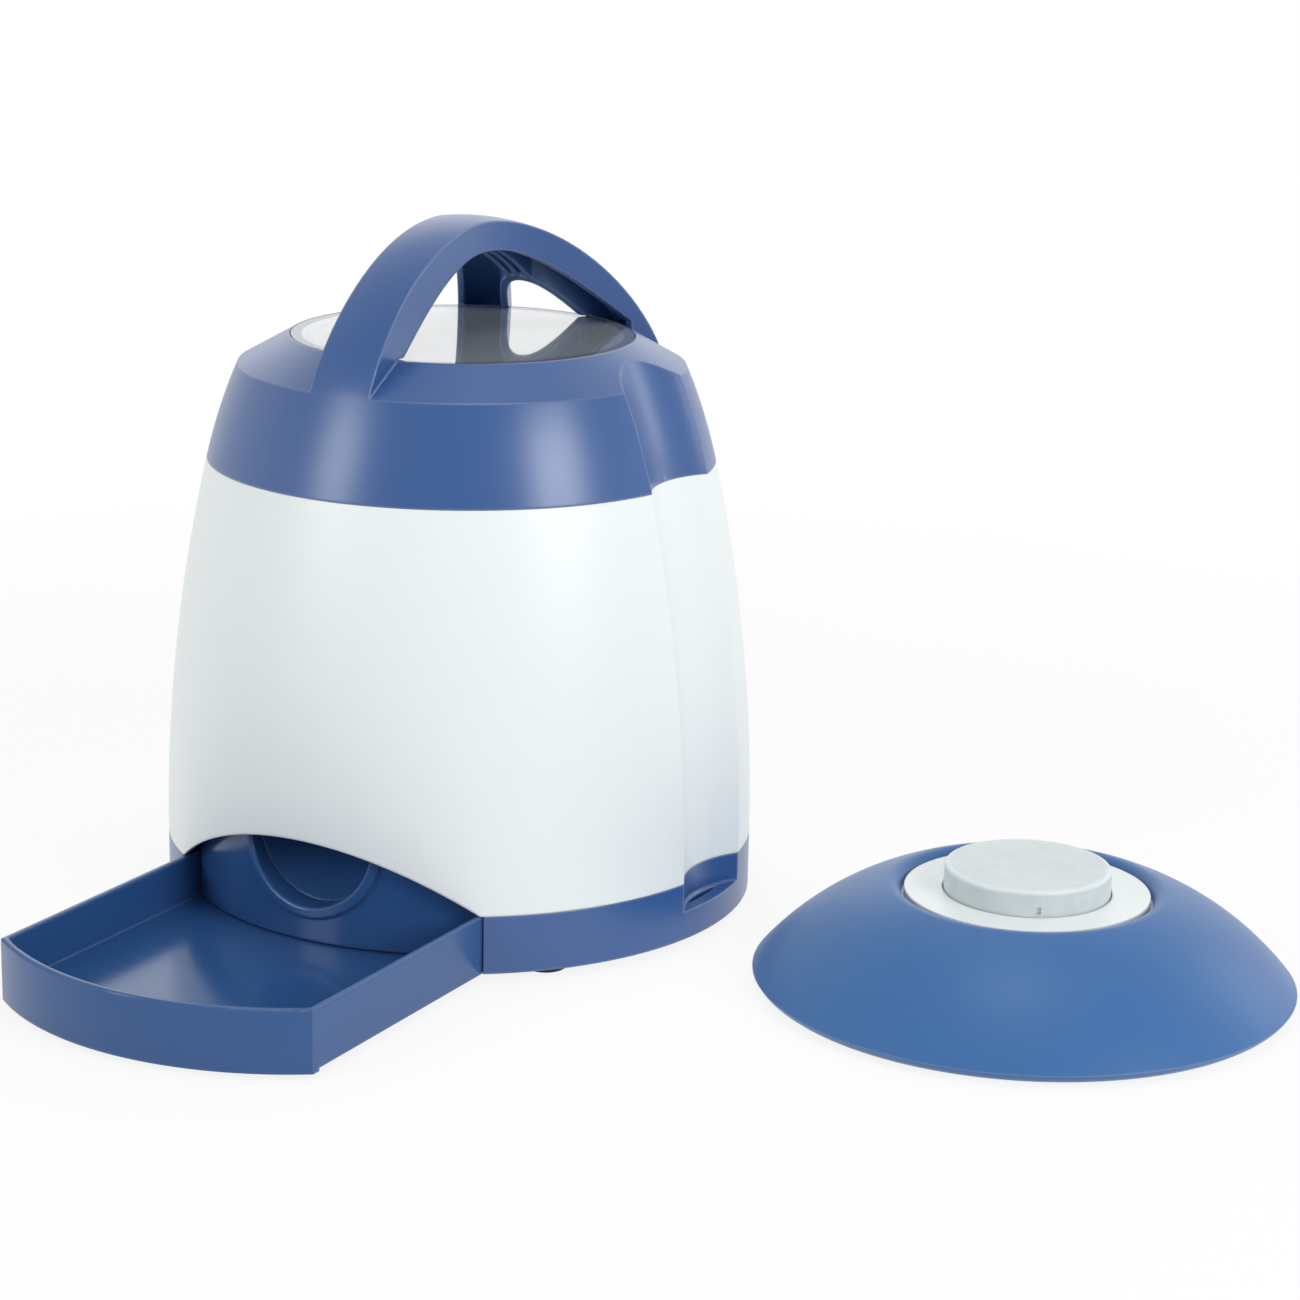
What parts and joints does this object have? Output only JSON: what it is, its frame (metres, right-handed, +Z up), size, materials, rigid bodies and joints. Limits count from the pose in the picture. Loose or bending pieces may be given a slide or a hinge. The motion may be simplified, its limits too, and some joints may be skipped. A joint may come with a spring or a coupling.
{
  "type": "treat dispenser with remote push button",
  "caption": "Drum-shaped pet treat dispenser with wishbone handle lid, pull-out tray and motor wheel, with its separate domed floor push button",
  "frame": {"origin": "on the floor, under the upright axis of the dispenser's barrel", "axes": "+Z up; the tray pulls out towards -Y; the push button stands towards +X"},
  "size_m": [0.394, 0.2945, 0.2315],
  "materials": {
    "blue_abs": "satin moulded",
    "white_abs": "satin moulded",
    "foot_rubber": "matt",
    "soft_skirt": "matt moulded",
    "frosted_cap": "frosted",
    "clear_window": "clear polished",
    "grey_abs": "satin moulded",
    "black_abs": "satin moulded",
    "natural_nylon": "satin moulded",
    "screw_steel": "zinc plated",
    "shaft_steel": "ground",
    "contact_steel": "nickel plated",
    "circuit_board": "solder mask",
    "cell_jacket": "printed film"
  },
  "bodies": {
    "dispenser": {"base": "blue_abs", "rubber_feet": "foot_rubber", "base_screws": "screw_steel", "outlet_wall": "blue_abs", "chute": "white_abs", "outlet_screws": "screw_steel", "body_shell": "white_abs", "hopper": "white_abs", "hopper_screws": "screw_steel", "wheel_housing": "white_abs", "housing_screws": "screw_steel", "motor_bracket": "black_abs", "bracket_screws": "screw_steel", "gearbox": "black_abs", "gearbox_screws": "screw_steel", "motor": "contact_steel", "main_board": "circuit_board", "board_screws": "screw_steel", "radio_module": "contact_steel", "buzzer": "black_abs", "cells": "cell_jacket", "cell_contacts": "contact_steel", "battery_door": "blue_abs", "battery_door_screw": "screw_steel", "switch_body": "black_abs"},
    "tray": {"tray": "blue_abs"},
    "lid": {"lid": "blue_abs", "window": "clear_window"},
    "wheel": {"dispensing_wheel": "grey_abs", "stirrer_cone": "grey_abs", "wheel_shaft": "shaft_steel", "drive_gear": "natural_nylon"},
    "pinion": {"pinion": "natural_nylon", "output_shaft": "shaft_steel"},
    "switch": {"switch_knob": "black_abs"},
    "remote": {"remote_dome": "soft_skirt", "remote_housing": "white_abs", "cap_spring": "shaft_steel", "remote_board": "circuit_board", "remote_board_screws": "screw_steel", "tact_switch": "black_abs", "remote_base": "blue_abs", "remote_screws": "screw_steel", "remote_feet": "foot_rubber", "remote_cells": "cell_jacket", "remote_contacts": "contact_steel", "remote_door": "blue_abs", "remote_door_screw": "screw_steel"},
    "cap": {"push_cap": "frosted_cap"}
  },
  "joints": [
    {"name": "tray_slide", "type": "slide", "parent": "dispenser", "child": "tray", "axis": [0, 1, 0], "range_m": [0, 0.09453]},
    {"name": "lid_lift", "type": "slide", "parent": "dispenser", "child": "lid", "axis": [0, 0, 1], "range_m": [0, 0.09]},
    {"name": "wheel_spin", "type": "hinge", "parent": "dispenser", "child": "wheel", "pos_m": [0, 0, 0.0857], "axis": [0, 0, 1], "continuous": true},
    {"name": "pinion_spin", "type": "hinge", "parent": "dispenser", "child": "pinion", "pos_m": [0, 0.03, 0.07], "axis": [0, 0, 1], "continuous": true},
    {"name": "power_switch", "type": "slide", "parent": "dispenser", "child": "switch", "axis": [0, 1, 0], "range_m": [0, 0.004]},
    {"name": "remote_lift", "type": "slide", "parent": "dispenser", "child": "remote", "axis": [0, 0, 1], "range_m": [0, 0.05]},
    {"name": "cap_press", "type": "slide", "parent": "remote", "child": "cap", "axis": [0, 0, -1], "range_m": [0, 0.003], "stiffness_N_per_m": 600, "springref_m": -0.002, "deforming": ["cap_spring"]}
  ],
  "couplings": [
    {"joint": "pinion_spin", "follows": "wheel_spin", "ratio": -4}
  ]
}
